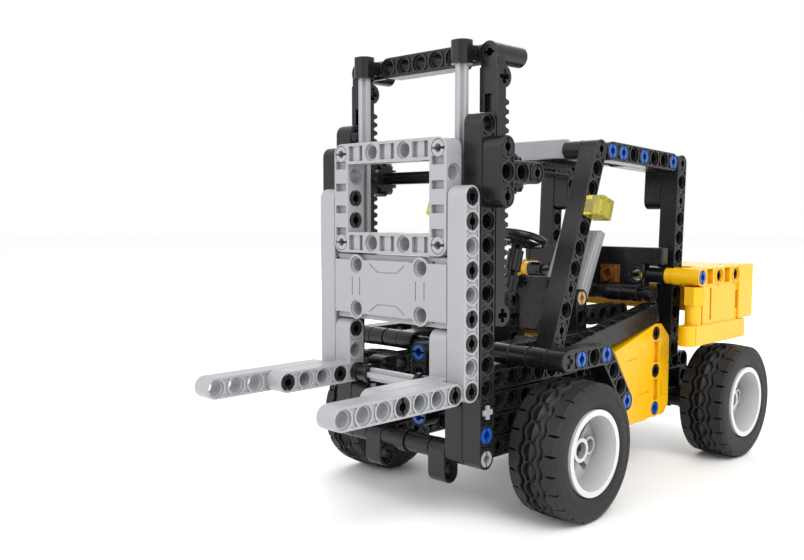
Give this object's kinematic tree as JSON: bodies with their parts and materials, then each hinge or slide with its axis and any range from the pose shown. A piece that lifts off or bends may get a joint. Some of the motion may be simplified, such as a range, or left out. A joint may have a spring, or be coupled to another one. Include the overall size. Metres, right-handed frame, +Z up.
{
  "type": "toy forklift",
  "caption": "Toy forklift of studless beams, pins and cross axles: rolling wheels, turning steering wheel and a rack-and-pinion lifting fork carriage.",
  "frame": {"origin": "on the floor, under the middle of the whole forklift", "axes": "+Z up, -Y forward towards the fork tips, +X towards the forklift's own left side"},
  "size_m": [0.116, 0.2444, 0.1649],
  "materials": {
    "light_grey": "satin moulded plastic, light bluish grey",
    "black": "satin moulded plastic, black",
    "yellow": "glossy moulded plastic, warm yellow",
    "mid_grey": "satin moulded plastic, medium grey",
    "blue": "satin moulded plastic, blue",
    "tan": "satin moulded plastic, tan",
    "pale_grey": "glossy moulded plastic, pale grey",
    "clear_yellow": "clear yellow plastic",
    "clear_orange": "clear orange plastic",
    "tyre": "matt black soft tyre"
  },
  "bodies": {
    "chassis": {"a_pillars": "black", "axle_brackets": "black", "b_pillars": "black", "black_pins": "black", "blue_pins": "blue", "cross_shafts": "black", "fender_tubes": "black", "fenders": "black", "grey_pins": "mid_grey", "head_lamps": "clear_yellow", "header_bar": "light_grey", "hood_cover": "yellow", "hood_left": "yellow", "hood_right": "yellow", "mast_beam_left": "black", "mast_beam_right": "black", "mast_feet": "black", "mast_tees": "black", "pedestal": "black", "rails_front": "black", "rails_rear": "black", "rails_upper": "black", "rear_panel": "black", "roof_beams": "black", "roof_links": "black", "roof_panel": "black", "seat_back": "light_grey", "seat_base": "black", "seat_pins": "tan", "side_panel_left": "yellow", "side_panel_right": "yellow", "sills": "black", "tail_lamps": "clear_orange", "uprights": "black"},
    "lift": {"carriage_beam_left": "light_grey", "carriage_beam_right": "light_grey", "carriage_frame": "light_grey", "carriage_panel": "light_grey", "fork_angles": "light_grey", "fork_beam_left": "light_grey", "fork_beam_right": "light_grey", "rack_left": "black", "rack_right": "black", "lift_rods": "light_grey", "top_connectors": "black", "top_cross_beam": "black", "carriage_axle": "light_grey", "carriage_bushes": "black", "carriage_pins": "black", "carriage_frame_pins": "light_grey"},
    "pinion": {"pinion_gears": "black", "pinion_axle": "black"},
    "front_wheels": {"axle_front": "black", "rims_front": "pale_grey", "tyres_front": "tyre"},
    "rear_wheels": {"axle_rear": "black", "rims_rear": "pale_grey", "tyres_rear": "tyre"},
    "steering": {"steering_wheel": "black", "steering_shaft": "black"}
  },
  "joints": [
    {"name": "lift_slide", "type": "slide", "parent": "chassis", "child": "lift", "axis": [0, 0, 1], "range_m": [-0.024, 0.032]},
    {"name": "pinion_spin", "type": "hinge", "parent": "chassis", "child": "pinion", "pos_m": [0, -0.03852, 0.12075], "axis": [1, 0, 0], "range_deg": [-308, 232]},
    {"name": "front_spin", "type": "hinge", "parent": "chassis", "child": "front_wheels", "pos_m": [0, -0.02252, 0.02475], "axis": [1, 0, 0], "continuous": true},
    {"name": "rear_spin", "type": "hinge", "parent": "chassis", "child": "rear_wheels", "pos_m": [0, 0.09748, 0.02475], "axis": [1, 0, 0], "continuous": true},
    {"name": "steering_spin", "type": "hinge", "parent": "chassis", "child": "steering", "pos_m": [0, 0.00228, 0.07595], "axis": [0, 0.2924, 0.9563], "continuous": true}
  ],
  "couplings": [
    {"joint": "pinion_spin", "follows": "lift_slide", "rad_per_m": -166.67}
  ]
}
